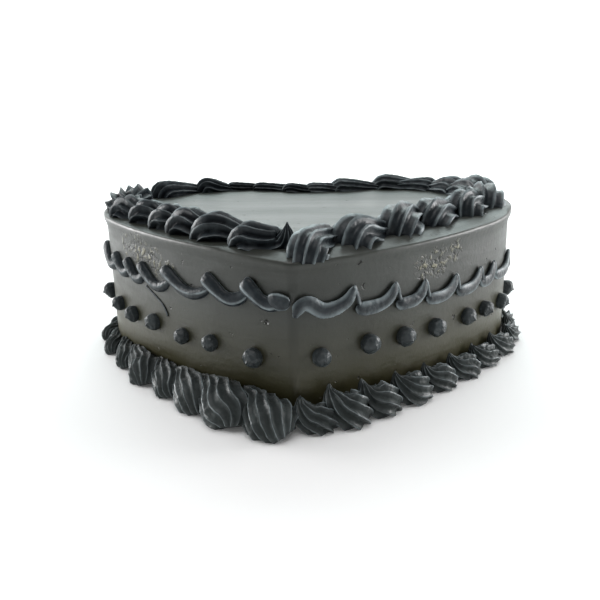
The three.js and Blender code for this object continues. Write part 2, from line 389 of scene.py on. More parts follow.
@dataclass(frozen=True)
class Bumps:
    """Unevenness of a surface: the size of its bumps, and their height from low to high."""

    grain: float
    depth: float

    LAYERS = 2
    MIDDLE = 0.5

    def press(self, piece: Piece) -> None:
        """Makes the surface of a piece uneven.

        Args:
            piece: The piece.
        """
        cloud = bpy.data.textures.new("unevenness", "CLOUDS")
        cloud.noise_scale = self.grain
        cloud.noise_depth = self.LAYERS
        cloud.noise_basis = "IMPROVED_PERLIN"
        settings = {"texture": cloud, "texture_coords": "LOCAL", "mid_level": self.MIDDLE}
        modified(piece, "DISPLACE", strength=self.depth, **settings)
        bpy.data.textures.remove(cloud)


def placed(piece: Piece, matrix: Matrix, bumps: Sequence[Bumps]) -> None:
    """Moves a piece, leaves its object at the origin and makes its surface uneven.

    Args:
        piece: The piece.
        matrix: Where it goes.
        bumps: Its unevenness.
    """
    select_only(piece)
    piece.matrix_world = matrix
    bpy.ops.object.transform_apply(location=True, rotation=True, scale=True)
    for layer in bumps:
        layer.press(piece)


def cut_flat(piece: Piece, height: float) -> None:
    """Cuts off what lies under a level and closes the cut.

    Args:
        piece: The piece.
        height: The level.
    """
    cut = {"plane_co": (0, 0, height), "plane_no": UP, "threshold": WELD}
    with editing(piece, whole=True):
        bpy.ops.mesh.bisect(use_fill=True, clear_inner=True, **cut)


def face_out(piece: Piece) -> None:
    """Merges doubled points and turns every face outwards.

    Args:
        piece: The piece.
    """
    with editing(piece, whole=True):
        bpy.ops.mesh.remove_doubles(threshold=WELD)
        bpy.ops.mesh.normals_make_consistent(inside=False)


def turned(steps: int, angle: float, centre: Xyz, axis: Xyz) -> None:
    """Draws out what is selected along an arc, in edit mode; the operator counts turns backward."""
    bpy.ops.mesh.spin(steps=steps, angle=-angle, center=centre, axis=axis)


@dataclass(frozen=True)
class StarTip:
    """Opening of a piping tip: sharp ridges with round hollows between them."""

    ridges: int
    depth: float
    sections: int = 44
    head_crowding: float = 1.6
    ripple: float = 0.0
    points: int = 8
    # How far the hollows fall toward painted shade; a round tip keeps one value, which sets its
    # painted highlights.
    shade: float = 1.0

    HOLLOW = 0.8

    def rod(self, name: str) -> Piece:
        """Models a straight rod of icing along X, of unit radius and unit length.

        Args:
            name: Name of the new piece.

        Returns:
            The closed rod, with its sections crowded toward the start.
        """
        circle = {"vertices": self.ridges * self.points, "radius": 1, "fill_type": "NGON"}
        piece = started(name, bpy.ops.mesh.primitive_circle_add, **circle)
        steps = [point.index % self.points for point in piece.data.vertices]
        # The ridge value lays the piped icing's painted highlights on the ridges and painted shade
        # in the hollows.
        ridge = piece.data.attributes.new(RIDGE, "FLOAT", "POINT")
        ridge.data.foreach_set("value", [self.crest(step) for step in steps])
        for step in range(1, self.points):
            size = 1 - self.depth * math.sin(HALF_TURN * step / self.points) ** self.HOLLOW
            pick_points(piece, [step == other for other in steps])
            with editing(piece):
                bpy.ops.transform.resize(value=(size, size, size), center_override=ORIGIN)
        places = [(cut / self.sections) ** self.head_crowding for cut in range(self.sections + 1)]
        with editing(piece, whole=True):
            bpy.ops.transform.rotate(value=QUARTER_TURN, orient_axis="Y", center_override=ORIGIN)
            for number, (last, now) in enumerate(zip(places, places[1:])):
                size = 1 + self.ripple * (-1) ** number
                step = {"value": (now - last, 0, 0)}
                bpy.ops.mesh.extrude_region_move(TRANSFORM_OT_translate=step)
                bpy.ops.transform.resize(value=(1, size, size), center_override=(now, 0, 0))
        face_out(piece)
        return piece

    def crest(self, step: int) -> float:
        """Returns 1 on a ridge, and less the given step on from it or on a round tip."""
        hollow = math.sin(HALF_TURN * step / self.points) if self.depth else 1
        return 1 - self.shade * hollow


@dataclass(frozen=True)
class Knot:
    """Point that draws the path of a piped run, with the size and twist of the icing there."""

    x: float
    y: float
    z: float
    radius: float
    twist: float = 0.0

    SIDE_STRAY = 0.5
    TWIST_STRAY = 3
    PATH_STEPS = 16
    PATH_ORDER = 4


def shaken(knots: Sequence[Knot], draw: Draw, share: float) -> list[Knot]:
    """Makes a path as uneven as a hand would.

    Args:
        knots: The even path.
        draw: Draws for the unevenness.
        share: Share of its size by which a knot strays.

    Returns:
        The uneven path.
    """
    return [
        replace(
            knot,
            y=knot.y + Knot.SIDE_STRAY * share * knot.radius * draw(),
            radius=knot.radius * (1 + share * draw()),
            twist=knot.twist + Knot.TWIST_STRAY * share * draw(),
        )
        for knot in knots
    ]


def piped(rod: Piece, name: str, knots: Sequence[Knot]) -> Piece:
    """Pipes a run of icing by bending a straight rod along a path.

    Args:
        rod: The rod of the piping tip.
        name: Name of the new piece.
        knots: The path from the head to the tail.

    Returns:
        The closed run.
    """
    piece = copied(rod, name)
    path = bpy.data.curves.new(name + "_path", "CURVE")
    path.dimensions = "3D"
    path.resolution_u = Knot.PATH_STEPS
    path.use_radius = path.use_stretch = path.use_deform_bounds = True
    line = path.splines.new("NURBS")
    line.points.add(len(knots) - 1)
    line.use_endpoint_u = True
    line.order_u = Knot.PATH_ORDER
    for point, knot in zip(line.points, knots):
        point.co = (knot.x, knot.y, knot.z, 1)
        point.radius = knot.radius
        point.tilt = knot.twist
    guide = bpy.data.objects.new(path.name, path)
    bpy.context.scene.collection.objects.link(guide)
    modified(piece, "CURVE", object=guide, deform_axis="POS_X")
    bpy.data.objects.remove(guide)
    bpy.data.curves.remove(path)
    return piece


# Finishes


@dataclass(frozen=True)
class Pattern:
    """Noise pattern: bumps to the metre, finer layers, and the range of it that is spread out."""

    grain: float
    detail: float
    span: Range
    to: Range = (0, 1)


class ShaderBench:
    """A new material, with short ways to add to its shader."""

    MIX_FIRST = 6
    MIX_SECOND = 7
    MIX_RESULT = 2
    SPOT_CORE = 0.4

    def __init__(self, name: str) -> None:
        """Starts the material.

        Args:
            name: Its name.
        """
        self.material = bpy.data.materials.new(name)
        self.material.use_nodes = True
        self.tree = self.material.node_tree
        self.shader = self.tree.nodes["Principled BSDF"]
        self.place = self.add("TexCoord", {}).outputs["Object"]

    def put(self, node: bpy.types.Node, values: Inputs) -> None:
        """Gives inputs of a node their values.

        Args:
            node: The node.
            values: Sockets, numbers, vectors and colours by the input's name or number.
        """
        for key, value in values.items():
            entry = node.inputs[key]
            if isinstance(value, Socket):
                self.tree.links.new(value, entry)
            else:
                entry.default_value = (*value, 1) if entry.type == "RGBA" else value

    def add(self, kind: str, values: Inputs, **options: str) -> bpy.types.Node:
        """Adds a node.

        Args:
            kind: Kind of node.
            values: Values of its inputs.
            options: Its options.

        Returns:
            The new node.
        """
        node = self.tree.nodes.new("ShaderNode" + kind)
        for key, option in options.items():
            setattr(node, key, option)
        self.put(node, values)
        return node

    def dressed(self, values: Inputs) -> bpy.types.Material:
        """Returns the material after giving inputs of its shader their values."""
        self.put(self.shader, values)
        return self.material

    def axis(self, name: str) -> Socket:
        """Returns one coordinate of the place."""
        return self.add("SeparateXYZ", {"Vector": self.place}).outputs[name]

    def noise(self, scale: float, detail: float, source: Socket | None = None) -> Socket:
        """Returns a noise pattern, read at the place or at another source."""
        values = {"Scale": scale, "Detail": detail, "Vector": source or self.place}
        return self.add("TexNoise", values).outputs["Fac"]

    def span(self, source: Socket, start: Range, to: Range) -> Socket:
        """Returns a value with one range of it mapped to another, held at its ends."""
        keys = ("Value", "From Min", "From Max", "To Min", "To Max")
        return self.add("MapRange", dict(zip(keys, (source, *start, *to)))).outputs["Result"]

    def pattern(self, pattern: Pattern) -> Socket:
        """Returns the value of a pattern at the place."""
        return self.span(self.noise(pattern.grain, pattern.detail), pattern.span, pattern.to)

    def blend(self, share: Socket, first: Rgb | Socket, second: Rgb | Socket) -> Socket:
        """Returns two colours mixed by the share of the second."""
        values = {"Factor": share, self.MIX_FIRST: first, self.MIX_SECOND: second}
        return self.add("Mix", values, data_type="RGBA").outputs[self.MIX_RESULT]

    def combine(self, operation: str, first: Socket, second: Socket) -> Socket:
        """Returns two values combined, as by MULTIPLY or MAXIMUM."""
        return self.add("Math", {0: first, 1: second}, operation=operation).outputs["Value"]

    def near(self, spot: Vector, radius: float) -> Socket:
        """Returns 1 about a spot of the row frame, fading to 0 at a radius."""
        node = self.add("VectorMath", {0: self.place, 1: spot}, operation="DISTANCE")
        return self.span(node.outputs["Value"], (self.SPOT_CORE * radius, radius), (1, 0))

    def bump(self, height: Socket, depth: float, under: Socket | None = None) -> Socket:
        """Returns the normal of a surface with bumps, and of those they lie on."""
        below = {} if under is None else {"Normal": under}
        return self.add("Bump", {"Height": height, "Distance": depth, **below}).outputs["Normal"]


@dataclass(frozen=True)
class Icing:
    """Satin buttercream: its colours, shine and grain."""

    name: str
    painted_shade: Rgb
    dark: Rgb
    pale_and_highlight: Rgb
    painted_bounce_tint: Rgb
    painted_bounce_span: Range
    painted_bounce_share: float
    clouds: Pattern
    roughness: Range
    grain: float
    grain_depth: float
    streak: Xyz
    streak_depth: float

    STREAK_SPAN = (0.3, 0.7)
    DETAIL = 4

    def clouded(self, bench: ShaderBench, colour: Rgb | Socket) -> Socket:
        """Returns the colour with paler clouds."""
        return bench.blend(bench.pattern(self.clouds), colour, self.pale_and_highlight)

    def with_painted_bounce(self, bench: ShaderBench, colour: Socket) -> Socket:
        """Returns the colour tinted toward the foot of the cake: a painted reflection of light
        bounced up from below.
        """
        share = bench.span(bench.axis("Z"), self.painted_bounce_span, (0, self.painted_bounce_share))
        return bench.blend(share, colour, self.painted_bounce_tint)

    def surface(self, bench: ShaderBench) -> Socket:
        """Sets the roughness and makes the fine bumps.

        Args:
            bench: The material.

        Returns:
            The bumped normal.
        """
        stretch = bench.add("Mapping", {"Vector": bench.place, "Scale": self.streak})
        streaks = bench.noise(1.0, self.DETAIL, stretch.outputs["Vector"])
        bench.dressed({"Roughness": bench.span(streaks, self.STREAK_SPAN, self.roughness)})
        normal = bench.bump(bench.noise(self.grain, self.DETAIL), self.grain_depth)
        return bench.bump(streaks, self.streak_depth, normal)


@dataclass(frozen=True)
class SpreadIcing(Icing):
    """Icing that is spread smooth, with rough patches where crumbs show, and stray pits; sharp
    edges such as the lip get a painted highlight, and the pits and a small hole get painted shade.
    """

    edge_highlight_span: Range
    edge_highlight: float
    crumb: Rgb
    crumbs: Pattern
    crumb_depth: float
    pits: Pattern
    strays: Pattern
    shine: float

    def material(self, hole: Spot, *patches: Spot) -> bpy.types.Material:
        """Builds the shader.

        Args:
            hole: Middle and size of a small hole.
            patches: Middle and size of each rough patch.

        Returns:
            The new material.
        """
        bench = ShaderBench(self.name)
        sharpness = bench.add("NewGeometry", {}).outputs["Pointiness"]
        # Painted highlight along sharp edges such as the lip.
        edges = bench.span(sharpness, self.edge_highlight_span, (0, self.edge_highlight))
        colour = bench.blend(edges, self.clouded(bench, self.dark), self.pale_and_highlight)
        colour = self.with_painted_bounce(bench, colour)
        rough = bench.near(*patches[0])
        for patch in patches[1:]:
            rough = bench.combine("MAXIMUM", rough, bench.near(*patch))
        crumbs = bench.combine("MULTIPLY", rough, bench.pattern(self.crumbs))
        # The pits and the hole are dented and painted dark: painted shade.
        pits = bench.combine("MULTIPLY", rough, bench.pattern(self.pits))
        pits = bench.combine("MAXIMUM", pits, bench.pattern(self.strays))
        pits = bench.combine("MAXIMUM", pits, bench.near(*hole))
        colour = bench.blend(pits, bench.blend(crumbs, colour, self.crumb), self.painted_shade)
        normal = bench.bump(crumbs, self.crumb_depth, self.surface(bench))
        normal = bench.bump(bench.span(pits, (0, 1), (1, 0)), self.crumb_depth, normal)
        values = {"Base Color": colour, "Normal": normal, "Specular IOR Level": self.shine}
        return bench.dressed(values)


@dataclass(frozen=True)
class PipedIcing(Icing):
    """Icing from a star tip: painted shade in the hollows, and painted highlights on the ridges
    that grow fainter toward the left, a painted shade on that side.
    """

    hollow_shade_span: Range
    line: Range
    highlight_share: float
    highlight_gaps: Pattern
    left_highlight_fade: Range
    left_highlight_share: float
    shine_span: Range
    shine: Range

    def material(self) -> bpy.types.Material:
        """Builds the shader.

        Returns:
            The new material.
        """
        bench = ShaderBench(self.name)
        ridge = bench.add("Attribute", {}, attribute_name=RIDGE).outputs["Fac"]
        # Painted shade in the hollows, by the ridge value.
        colour = bench.blend(bench.span(ridge, self.hollow_shade_span, (0, 1)), self.painted_shade, self.dark)
        colour = self.with_painted_bounce(bench, self.clouded(bench, colour))
        # Painted highlight lines on the ridges, broken up by noise.
        line = bench.span(ridge, self.line, (0, self.highlight_share))
        line = bench.combine("MULTIPLY", line, bench.pattern(self.highlight_gaps))
        # Toward the left the painted highlights and the shine grow fainter: painted shade on that
        # side.
        painted_left_shade = bench.span(bench.axis("X"), self.left_highlight_fade, (self.left_highlight_share, 1))
        colour = bench.blend(bench.combine("MULTIPLY", line, painted_left_shade), colour, self.pale_and_highlight)
        shine = bench.combine("MULTIPLY", bench.span(ridge, self.shine_span, self.shine), painted_left_shade)
        values = {"Base Color": colour, "Normal": self.surface(bench), "Specular IOR Level": shine}
        return bench.dressed(values)


WALL_ICING = SpreadIcing(
    name="satin_icing",
    # Painted shade in the pits and the small hole.
    painted_shade=(0.006, 0.006, 0.004),
    dark=(0.0212, 0.0240, 0.0188),
    # Lighter clouds, and the painted highlight along sharp edges.
    pale_and_highlight=(0.046, 0.051, 0.045),
    # Toward the foot: a painted reflection of warm light bounced up from below.
    painted_bounce_tint=(0.058, 0.050, 0.010),
    painted_bounce_span=(0.046, 0.010),
    painted_bounce_share=0.62,
    clouds=Pattern(35, 3, (0.35, 0.7), (0, 0.5)),
    roughness=(0.36, 0.50),
    grain=420,
    grain_depth=0.00012,
    streak=(9, 60, 240),
    streak_depth=0.00025,
    # Painted highlight along sharp edges such as the lip.
    edge_highlight_span=(0.53, 0.64),
    edge_highlight=0.5,
    crumb=(0.20, 0.19, 0.13),
    crumbs=Pattern(420, 3, (0.52, 0.64)),
    crumb_depth=0.0005,
    pits=Pattern(546, 2, (0.56, 0.66)),
    strays=Pattern(252, 2, (0.72, 0.78)),
    shine=0.56,
)

PIPED_ICING = PipedIcing(
    name="piped_icing",
    # Painted shade in the hollows between the ridges.
    painted_shade=(0.0046, 0.0060, 0.0076),
    dark=(0.0180, 0.0234, 0.0278),
    # Lighter clouds, and the painted highlight lines on the ridges.
    pale_and_highlight=(0.258, 0.306, 0.322),
    # Lighter toward the foot: a painted reflection of light bounced up from below.
    painted_bounce_tint=(0.068, 0.078, 0.075),
    painted_bounce_span=(0.045, 0.0),
    painted_bounce_share=0.7,
    clouds=Pattern(140, 3, (0.5, 0.75), (0, 0.14)),
    roughness=(0.30, 0.44),
    grain=700,
    grain_depth=0.00022,
    streak=(120, 120, 120),
    streak_depth=0.0003,
    # Painted shade in the hollows; painted highlight lines on the ridges, broken up by noise and
    # fainter toward the left; shine lower in the hollows.
    hollow_shade_span=(0.0, 0.5),
    line=(0.80, 0.98),
    highlight_share=0.9,
    highlight_gaps=Pattern(175, 2, (0.35, 0.6), (0.3, 1)),
    left_highlight_fade=(-0.095, -0.050),
    left_highlight_share=0.35,
    shine_span=(0.1, 0.8),
    shine=(0.04, 0.34),
)


@dataclass(frozen=True)
class WallMark:
    """Spot of the wall where the icing isn't smooth."""

    side: Side
    distance: float
    height: float
    radius: float


ROUGH_PATCHES = (
    WallMark(LEFT, 68, 54, 6),
    WallMark(LEFT, 80, 57, 8),
    WallMark(LEFT, 93, 60, 10),
    WallMark(LEFT, 106, 60, 7),
    WallMark(RIGHT, 64, 56, 6),
    WallMark(RIGHT, 74, 57, 8),
    WallMark(RIGHT, 86, 60, 6),
)
# A small hole, dented and darkened with painted shade.
WALL_HOLE = WallMark(LEFT, 12, 42, 1.2)


@dataclass
class Kitchen:
    """What the pieces of the cake share: outline, place in the row frame and finishes."""

    outline: HeartOutline
    shift: Vector

    @cached_property
    def finishes(self) -> dict[Slot, bpy.types.Material]:
        """Materials of the slots."""
        spots = [self.spot(mark) for mark in (WALL_HOLE, *ROUGH_PATCHES)]
        return {Slot.ICING: WALL_ICING.material(*spots), Slot.PIPING: PIPED_ICING.material()}

    def spot(self, mark: WallMark) -> Spot:
        """Returns the middle and size of a mark in the row frame."""
        middle = Vector(self.outline.wrapped(mark.distance, 0, mark.height, mark.side))
        return middle * MILLIMETRE + self.shift, mark.radius * MILLIMETRE

    def serve(self, piece: Piece, slot: Slot, stands_for: Sequence[str]) -> None:
        """Settles a finished piece into the row frame and dresses it.

        Args:
            piece: The piece, in millimetres in the heart's frame.
            slot: Slot of its finish.
            stands_for: Solids that the piece is shown for.
        """
        piece.data.transform(Matrix.Translation(self.shift) @ Matrix.Scale(MILLIMETRE, 4))
        piece.data.materials.clear()
        piece.data.materials.append(self.finishes[slot])
        select_only(piece)
        bpy.ops.object.shade_smooth()
        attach(piece, BODY)
        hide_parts(*stands_for)
        LOG.info("%s: %d faces", piece.name, len(piece.data.polygons))


@dataclass
class CakeBody:
    """The iced heart, with a soft lip round its top edge that droops in places.

    Each row of the rim is an outline's way out in lips, its depth under the top and its share of
    the droop. No two outlines are at one height.
    """

    kitchen: Kitchen
    height: float = 70
    lip_reach: float = 1.2
    rim: tuple[Xyz, ...] = (
        (0, 7, 0.4), (0.45, 4.2, 0.8), (1, 2.4, 1), (1, 1.2, 1), (0.85, 0.42, 0.98),
        (0.3, 0.12, 0.94), (-1.5, 0.08, 0.72), (-4, 0.04, 0.35), (-8, 0, 0),
    )
    wall_cuts: int = 12
    wave: Bumps = Bumps(38, 0.9)
    ripple: Bumps = Bumps(9, 0.22)
    droop: float = 2.0
    droop_back: float = -5
    droop_reach: float = 35
    droop_left: float = 45

    def levels(self) -> list[Xyz]:
        """Returns the offset, height and share of the droop of each outline from the foot up."""
        rim = ((out * self.lip_reach, self.height - depth, share) for out, depth, share in self.rim)
        return [(0.0, 0.0, 0.0), *rim]

    def sag(self, place: Vector) -> float:
        """Returns the droop of the rim at a place, most at the tip and along the right side."""
        forward = held((self.droop_back - place.y) / self.droop_reach)
        return self.droop * forward * held(1 + place.x / self.droop_left)

    def trace(self, offset: float, level: float) -> None:
        """Draws one closed outline in edit mode by spinning a point round each arc.

        Args:
            offset: How far the outline is moved out.
            level: Its height.
        """
        arcs = self.kitchen.outline.arcs(offset)
        start = arcs[0].place(0)
        bpy.ops.mesh.select_all(action="DESELECT")
        bpy.ops.mesh.primitive_plane_add(size=1, location=(start.x, start.y, level))
        bpy.ops.mesh.merge(type="CENTER")
        for arc in arcs:
            turned(arc.steps, arc.end - arc.start, (*arc.centre, level), UP)

    def build(self) -> None:
        """Models the heart from its outlines."""
        piece = started("iced_heart", bpy.ops.mesh.primitive_plane_add, size=1)
        with editing(piece, whole=True):
            bpy.ops.mesh.delete(type="VERT")
            for offset, level, _ in self.levels():
                self.trace(offset, level)
            bpy.ops.mesh.select_all(action="SELECT")
            bpy.ops.mesh.symmetrize(direction="POSITIVE_X", threshold=WELD)
        self.skin(piece)
        self.kitchen.serve(piece, Slot.ICING, ["cake_body"])

    def skin(self, piece: Piece) -> None:
        """Closes the outlines into a wall, a lip and a top, and makes the icing uneven.

        Args:
            piece: The piece that holds the outlines.
        """
        heights = [height for _, height, _ in self.levels()]
        ends = (heights[0], heights[-1])
        for low, high in zip(heights, heights[1:]):
            self.pick_levels(piece, (low, high), WELD)
            with editing(piece):
                cuts = self.wall_cuts if low == 0 else 0
                bpy.ops.mesh.bridge_edge_loops(number_cuts=cuts, interpolation="LINEAR")
        for end in ends:
            self.pick_levels(piece, (end,), WELD)
            with editing(piece):
                bpy.ops.mesh.edge_face_add()
        face_out(piece)
        for _, height, share in self.levels():
            for point in piece.data.vertices:
                if share and abs(point.co.z - height) < WELD:
                    point.co.z -= share * self.sag(point.co)
        self.wave.press(piece)
        self.ripple.press(piece)
        for end in ends:
            self.pick_levels(piece, (end,), self.wave.depth)
            with editing(piece):
                bpy.ops.transform.resize(value=(1, 1, 0), center_override=(0, 0, end))

    def pick_levels(self, piece: Piece, heights: Sequence[float], reach: float) -> None:
        """Selects the points that are within reach of some heights."""
        levels = (point.co.z for point in piece.data.vertices)
        pick_points(piece, [any(abs(z - height) < reach for height in heights) for z in levels])


@dataclass(frozen=True)
class Swirl:
    """Form of a piped swirl along X, in shares of its radius and of the run to the next one.

    Each row is the way along the run, the way along the radius, out, up, and the size.
    """

    rows: tuple[tuple[float, float, float, float, float], ...]
    twist: float

    def knots(self, radius: float, run: float) -> list[Knot]:
        """Path of the swirl.

        Args:
            radius: Its radius where it is fullest.
            run: Way to the next swirl.

        Returns:
            The knots from the head to the tail.
        """
        turns = [self.twist * number / (len(self.rows) - 1) for number in range(len(self.rows))]
        return [
            Knot(along * run + by * radius, out * radius, up * radius, size * radius, turn)
            for turn, (along, by, out, up, size) in zip(turns, self.rows)
        ]


# A rounded head whose ridges rise from the floor, bend over and run into the tail.
BENT_SWIRL = Swirl(
    (
        (0, -0.05, 0, -0.35, 0.84), (0, -0.06, 0, -0.08, 0.98), (0, -0.02, 0, 0.04, 1.03),
        (0, 0.18, 0, 0.08, 1), (0.32, 0, 0, 0.05, 0.88), (0.62, 0, 0, 0, 0.68),
        (0.86, 0, 0, -0.04, 0.46), (1, 0, 0, -0.08, 0.26),
    ),
    twist=0.45,
)
# The same, longer, with a tail that curls up to a thin point.
CURLED_SWIRL = Swirl(
    (
        (0, -0.05, 0, -0.35, 0.8), (0, -0.06, 0, -0.08, 0.94), (0, -0.02, 0, 0.04, 0.98),
        (0, 0.18, 0, 0.06, 0.96), (0.35, 0, 0, 0.06, 0.92), (0.65, 0, 0, 0.05, 0.86),
        (0.85, 0, 0, 0.05, 0.78), (0.97, 0, 0, 0.12, 0.62), (1.02, 0, 0, 0.4, 0.44),
        (1.03, 0, 0, 0.66, 0.24), (1.04, 0, 0, 1.05, 0.02),
    ),
    twist=0.25,
)
# A low rope that hardly thins.
ROPE_SWIRL = Swirl(
    (
        (0, -0.3, 0, -0.1, 0.6), (0, -0.28, 0, 0.05, 0.95), (0, 0.1, 0, 0.1, 1.05),
        (0.35, 0, 0, 0.08, 1), (0.7, 0, 0, 0.04, 0.9), (1, 0, 0, 0, 0.75), (1.1, 0, 0, 0, 0.5),
    ),
    twist=0.6,
)
# A short upright swirl that folds over at its top.
FOLDED_SWIRL = Swirl(
    (
        (0, -0.1, 0, -0.45, 0.86), (0, -0.12, 0, -0.1, 0.98), (0, -0.1, 0, 0.18, 1.04),
        (0, 0.08, 0, 0.36, 1), (0.28, 0.1, 0, 0.36, 0.9), (0.58, 0, 0, 0.3, 0.8),
        (0.86, 0, 0, 0.2, 0.66), (1, 0, 0, 0.1, 0.4),
    ),
    twist=0.8,
)
# A fat bulb with slanting ridges, whose tail runs along the wall.
BULB_SWIRL = Swirl(
    (
        (0, -0.74, 0.04, 0.06, 0.5), (0, -0.66, 0.04, 0.2, 0.82), (0, -0.34, 0.03, 0.34, 1.02),
        (0, 0.08, 0, 0.42, 1.04), (0.35, 0.1, 0, 0.52, 0.84), (0.62, 0, 0, 0.66, 0.66),
        (0.84, 0, 0, 0.78, 0.5), (1, 0, 0, 0.84, 0.26),
    ),
    twist=1.5,
)
# A scroll that swings out round the front and back to the wall, up to a thin peak.
SCROLL_SWIRL = Swirl(
    (
        (-0.16, 0, -0.12, 0.14, 0.66), (-0.25, 0, 0.02, 0.32, 0.88), (-0.14, 0, 0.12, 0.45, 0.96),
        (0.05, 0, 0.1, 0.55, 0.92), (0.22, 0, -0.02, 0.73, 0.76), (0.33, 0, -0.22, 1.02, 0.54),
        (0.37, 0, -0.4, 1.34, 0.29), (0.36, 0, -0.48, 1.64, 0.03),
    ),
    twist=0.4,
)


@dataclass(frozen=True)
class TopHead:
    """Where one swirl of the top border starts, and how it is piped."""

    side: Side
    distance: float
    size: float = 1.0
    lean: float = 0.3
    inset: float | None = None
    form: Swirl = BENT_SWIRL
    reach: float = 1.05
    sink: float = 0.0
    backward: bool = False


FOLD = partial(TopHead, form=FOLDED_SWIRL)
BACK = partial(TopHead, lean=0.1, backward=True)
ROPE = partial(TopHead, lean=0.0, form=ROPE_SWIRL, backward=True)

# Anticlockwise from the tip. Those along the back are piped the other way round.
TOP_HEADS = (
    FOLD(RIGHT, 8.5, size=0.9, lean=0.75, inset=3.5, sink=1.3),
    TopHead(RIGHT, 36, size=1.18, sink=1.5),
    FOLD(RIGHT, 63, size=1.08, lean=0.6, sink=1.5),
    TopHead(RIGHT, 88, sink=0.5),
    TopHead(RIGHT, 118),
    TopHead(RIGHT, 148),
    TopHead(RIGHT, 176),
    TopHead(RIGHT, 204, size=0.85),
    TopHead(RIGHT, 224, size=0.7),
    BACK(RIGHT, 259, size=0.68),
    BACK(RIGHT, 290, size=0.58),
    ROPE(RIGHT, 303, size=0.42),
    ROPE(LEFT, 295, size=0.42),
    ROPE(LEFT, 276, size=0.44),
    ROPE(LEFT, 255, size=0.42),
    BACK(LEFT, 237, size=0.7),
    BACK(LEFT, 201, size=0.75, lean=0.2),
    TopHead(LEFT, 178, size=0.9, inset=9),
    TopHead(LEFT, 153, inset=9),
    TopHead(LEFT, 130, inset=10.5),
    TopHead(LEFT, 108, inset=13),
    TopHead(LEFT, 88, inset=13.5),
    TopHead(LEFT, 70, inset=13),
    TopHead(LEFT, 51, inset=12),
    TopHead(LEFT, 28, lean=0.2, inset=11, form=CURLED_SWIRL, reach=0.56, sink=0.5),
)


@dataclass
class TopBorder:
    """Border of swirls round the top edge."""

    kitchen: Kitchen
    cake_height: float = 70
    inset: float = 12
    bay_at: float = 100
    bay_reach: float = 60
    bay_depth: float = 4
    radius: float = 10.4
    unevenness: float = 0.09
    wobble: float = 0.06
    seed: int = 1207
    detail_seed: int = 4021
    gap: float = 0.3
    foot: float = 2.4
    left_star: StarTip = StarTip(ridges=11, depth=0.27)
    # The right swirls get less painted shade in their hollows.
    right_star: StarTip = StarTip(ridges=11, depth=0.27, shade=0.42)
    bumps: tuple[Bumps, ...] = (Bumps(3.5, 0.7), Bumps(1.5, 0.45))

    def place(self, head: TopHead) -> Place:
        """Place of a head, in from the wall and further in along the sides.

        Args:
            head: The head.

        Returns:
            Its place, with the wall's outward normal.
        """
        away = held(abs(head.distance - self.bay_at) / self.bay_reach)
        inset = self.inset + self.bay_depth * math.cos(QUARTER_TURN * away) ** 2
        step = inset if head.inset is None else head.inset
        return self.kitchen.outline.place(0, head.distance, head.side).stepped(-step)

    def build(self) -> None:
        """Pipes every swirl of the border."""
        draw, detail = Draw(self.seed), Draw(self.detail_seed)
        stars = {LEFT: self.left_star, RIGHT: self.right_star}
        rods = {side: star.rod(f"rod_{side.value}") for side, star in stars.items()}
        places = [self.place(head) for head in TOP_HEADS]
        for number, (head, place) in enumerate(zip(TOP_HEADS, places)):
            way = -1 if head.backward else 1
            following = places[(number + way) % len(places)]
            run = head.reach * math.hypot(following.x - place.x, following.y - place.y)
            size = head.size * (1 + self.unevenness * draw())
            turn = way * (QUARTER_TURN + head.lean + self.unevenness * draw())
            knots = shaken(head.form.knots(self.radius * size, run), detail, self.wobble)
            piece = piped(rods[head.side], f"swirl_{number + 1:02d}", knots)
            level = self.cake_height + self.gap - head.sink
            placed(piece, place.matrix(turn, level), self.bumps)
            cut_flat(piece, self.cake_height - self.foot)
            self.kitchen.serve(piece, Slot.PIPING, [f"top_swirl_{number + 1:02d}"])
        for rod in rods.values():
            bpy.data.objects.remove(rod)


@dataclass(frozen=True)
class BaseRow:
    """Swirls of one half of the foot's border."""

    side: Side
    name: str
    seen: tuple[float, ...]
    count: int
    width: float
    back_width: float
    cleft_from: float
    back_rise: float
    lean: float
    star: StarTip
    form: Swirl
    seed: int


